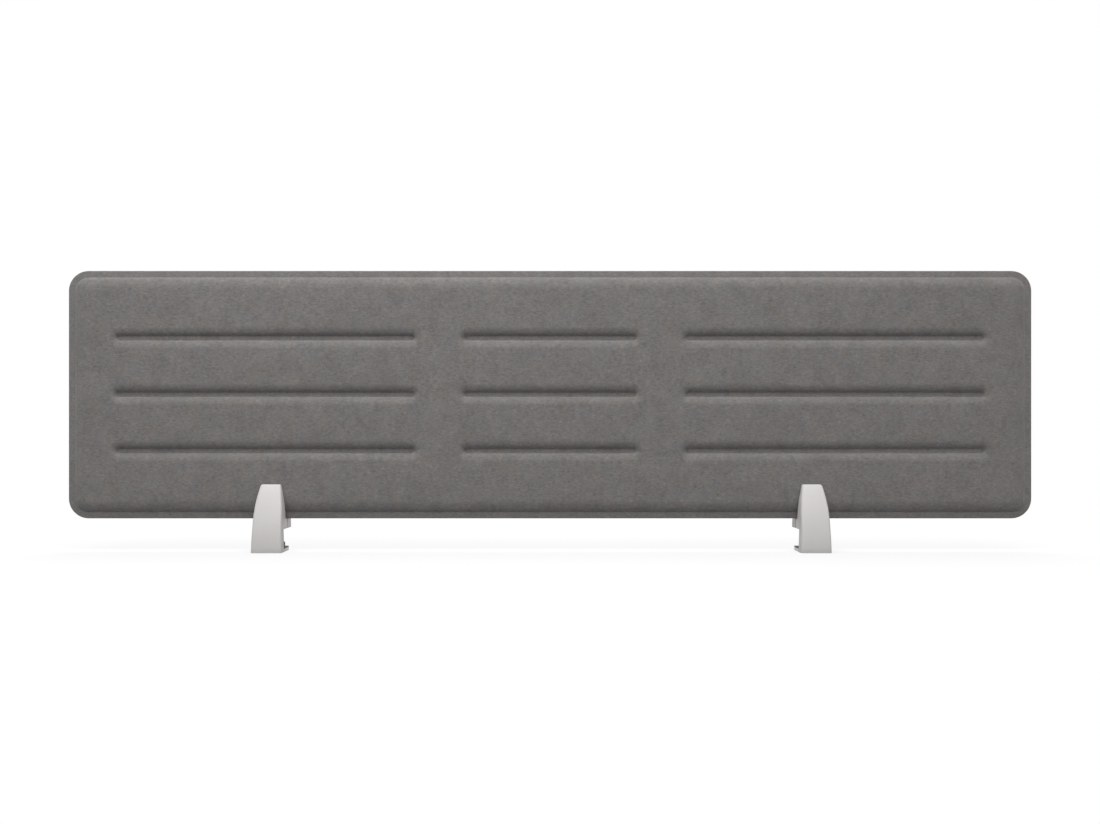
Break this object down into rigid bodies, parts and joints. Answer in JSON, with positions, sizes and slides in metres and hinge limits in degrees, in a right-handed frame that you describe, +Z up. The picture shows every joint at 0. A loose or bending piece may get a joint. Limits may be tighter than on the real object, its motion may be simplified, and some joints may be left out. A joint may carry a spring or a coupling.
{
  "type": "acoustic divider screen",
  "caption": "Low moulded felt screen for the edge of a desk, pressed with rows of shallow grooves and held by sliding clamps whose jaws close on the desk top.",
  "frame": {"origin": "on the plane of the desk's top, under the middle of the panel and in its middle plane", "axes": "+X along the screen, to the right seen from the front; +Y out of the screen's rear face, over the desk; +Z up, out of the desk top"},
  "size_m": [1.4, 0.0698, 0.4067],
  "materials": {
    "felt": "pressed polyester felt, heathered grey",
    "filling": "soft white fibre sheet",
    "clamp_plastic": "moulded, light warm grey, satin",
    "pad_rubber": "soft dark grey rubber",
    "steel": "zinc plated",
    "insert_brass": "knurled, threaded"
  },
  "bodies": {
    "left_clamp": {"left_clamp_body": "clamp_plastic", "left_front_grip_pad": "pad_rubber", "left_seat_pad": "pad_rubber", "left_jaw_insert": "insert_brass", "left_grip_insert": "insert_brass", "left_guide_pins": "steel"},
    "panel": {"front_felt_shell": "felt", "rear_felt_shell": "felt", "acoustic_core": "filling"},
    "right_clamp": {"right_clamp_body": "clamp_plastic", "right_front_grip_pad": "pad_rubber", "right_seat_pad": "pad_rubber", "right_jaw_insert": "insert_brass", "right_grip_insert": "insert_brass", "right_guide_pins": "steel"},
    "left_jaw": {"left_jaw": "clamp_plastic", "left_jaw_pad": "pad_rubber"},
    "left_jaw_screw": {"left_jaw_screw": "steel"},
    "left_cheek": {"left_rear_cheek": "clamp_plastic", "left_rear_grip_pad": "pad_rubber"},
    "left_grip_screw": {"left_grip_screw": "steel"},
    "right_jaw": {"right_jaw": "clamp_plastic", "right_jaw_pad": "pad_rubber"},
    "right_jaw_screw": {"right_jaw_screw": "steel"},
    "right_cheek": {"right_rear_cheek": "clamp_plastic", "right_rear_grip_pad": "pad_rubber"},
    "right_grip_screw": {"right_grip_screw": "steel"}
  },
  "joints": [
    {"name": "panel_slide", "type": "slide", "parent": "left_clamp", "child": "panel", "axis": [1, 0, 0], "range_m": [-0.1, 0.1]},
    {"name": "right_clamp_slide", "type": "slide", "parent": "panel", "child": "right_clamp", "axis": [1, 0, 0], "range_m": [-0.1, 0.1]},
    {"name": "left_jaw_lift", "type": "slide", "parent": "left_clamp", "child": "left_jaw", "axis": [0, 0, 1], "range_m": [0, 0.012]},
    {"name": "left_jaw_screw_turn", "type": "hinge", "parent": "left_jaw", "child": "left_jaw_screw", "pos_m": [-0.4035, -0.03033, -0.0257], "axis": [0, 0, 1], "range_deg": [0, 4320.5]},
    {"name": "left_cheek_slide", "type": "slide", "parent": "left_clamp", "child": "left_cheek", "axis": [0, 1, 0], "range_m": [0, 0.006]},
    {"name": "left_grip_screw_turn", "type": "hinge", "parent": "left_cheek", "child": "left_grip_screw", "pos_m": [-0.4035, 0.02059, 0.0075], "axis": [0, 1, 0], "range_deg": [0, 2160.5]},
    {"name": "right_jaw_lift", "type": "slide", "parent": "right_clamp", "child": "right_jaw", "axis": [0, 0, 1], "range_m": [0, 0.012]},
    {"name": "right_jaw_screw_turn", "type": "hinge", "parent": "right_jaw", "child": "right_jaw_screw", "pos_m": [0.3785, -0.03033, -0.0257], "axis": [0, 0, 1], "range_deg": [0, 4320.5]},
    {"name": "right_cheek_slide", "type": "slide", "parent": "right_clamp", "child": "right_cheek", "axis": [0, 1, 0], "range_m": [0, 0.006]},
    {"name": "right_grip_screw_turn", "type": "hinge", "parent": "right_cheek", "child": "right_grip_screw", "pos_m": [0.3785, 0.02059, 0.0075], "axis": [0, 1, 0], "range_deg": [0, 2160.5]}
  ],
  "couplings": [
    {"joint": "left_jaw_screw_turn", "follows": "left_jaw_lift", "rad_per_m": 6283.2},
    {"joint": "left_grip_screw_turn", "follows": "left_cheek_slide", "rad_per_m": 6283.2},
    {"joint": "right_jaw_screw_turn", "follows": "right_jaw_lift", "rad_per_m": 6283.2},
    {"joint": "right_grip_screw_turn", "follows": "right_cheek_slide", "rad_per_m": 6283.2}
  ]
}
